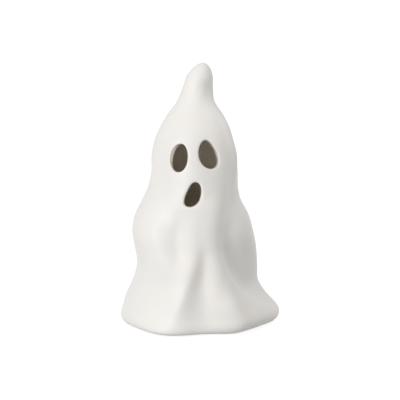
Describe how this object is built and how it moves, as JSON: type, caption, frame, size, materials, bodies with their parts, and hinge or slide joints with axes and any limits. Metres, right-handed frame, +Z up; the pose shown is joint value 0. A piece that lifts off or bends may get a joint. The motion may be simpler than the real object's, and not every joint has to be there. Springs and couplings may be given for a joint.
{
  "type": "ceramic ghost figure",
  "caption": "Draped ghost in white glazed ceramic, hollow, with cut-out eyes and mouth and a battery light set in its underside.",
  "frame": {"origin": "on the table, under the middle of the figure's base", "axes": "+Z up to the tip, -Y towards the face, +X to the right when facing the face"},
  "size_m": [0.1024, 0.0931, 0.17],
  "materials": {
    "white_glaze": "satin white glaze, slightly uneven",
    "grey_felt": "pressed felt",
    "silicone": "translucent white silicone",
    "white_plastic": "moulded ABS, fine texture",
    "zinc_screws": "zinc plated",
    "cell_steel": "polished can",
    "contact_brass": "satin",
    "spring_steel": "plated spring wire",
    "board_green": "solder mask",
    "led_epoxy": "clear warm-white lens",
    "tinned_lead": "tinned",
    "chip_black": "moulded",
    "resistor_tan": "lacquered",
    "frosted_plastic": "frosted",
    "switch_steel": "tin plated",
    "phenolic_brown": "phenolic sheet",
    "black_plastic": "moulded",
    "red_wire": "PVC insulation",
    "white_wire": "PVC insulation",
    "black_wire": "PVC insulation"
  },
  "bodies": {
    "figure": {"ceramic_body": "white_glaze", "felt_foot_1": "grey_felt", "felt_foot_2": "grey_felt", "felt_foot_3": "grey_felt", "felt_foot_4": "grey_felt", "silicone_bead": "silicone", "light_cup": "white_plastic", "base_plate": "white_plastic", "plate_screws": "zinc_screws", "button_cell_1": "cell_steel", "button_cell_2": "cell_steel", "button_cell_3": "cell_steel", "positive_contact": "contact_brass", "negative_contact": "contact_brass", "negative_spring": "spring_steel", "circuit_board": "board_green", "board_screws": "zinc_screws", "led_lens": "led_epoxy", "led_leads": "tinned_lead", "controller_chip": "chip_black", "resistor": "resistor_tan", "light_diffuser": "frosted_plastic", "switch_case": "switch_steel", "switch_wafer": "phenolic_brown", "switch_terminals": "contact_brass", "switch_screws": "zinc_screws", "red_wire": "red_wire", "white_wire": "white_wire", "black_wire": "black_wire"},
    "battery_door": {"battery_door": "white_plastic", "door_screw_1": "zinc_screws", "door_screw_2": "zinc_screws"},
    "switch_slider": {"switch_slider": "black_plastic", "switch_wiper": "contact_brass"}
  },
  "joints": [
    {"name": "battery_door_lift", "type": "slide", "parent": "figure", "child": "battery_door", "axis": [0, 0, -1], "range_m": [0, 0.015]},
    {"name": "switch_slide", "type": "slide", "parent": "figure", "child": "switch_slider", "axis": [-1, 0, 0], "range_m": [0, 0.002]}
  ]
}
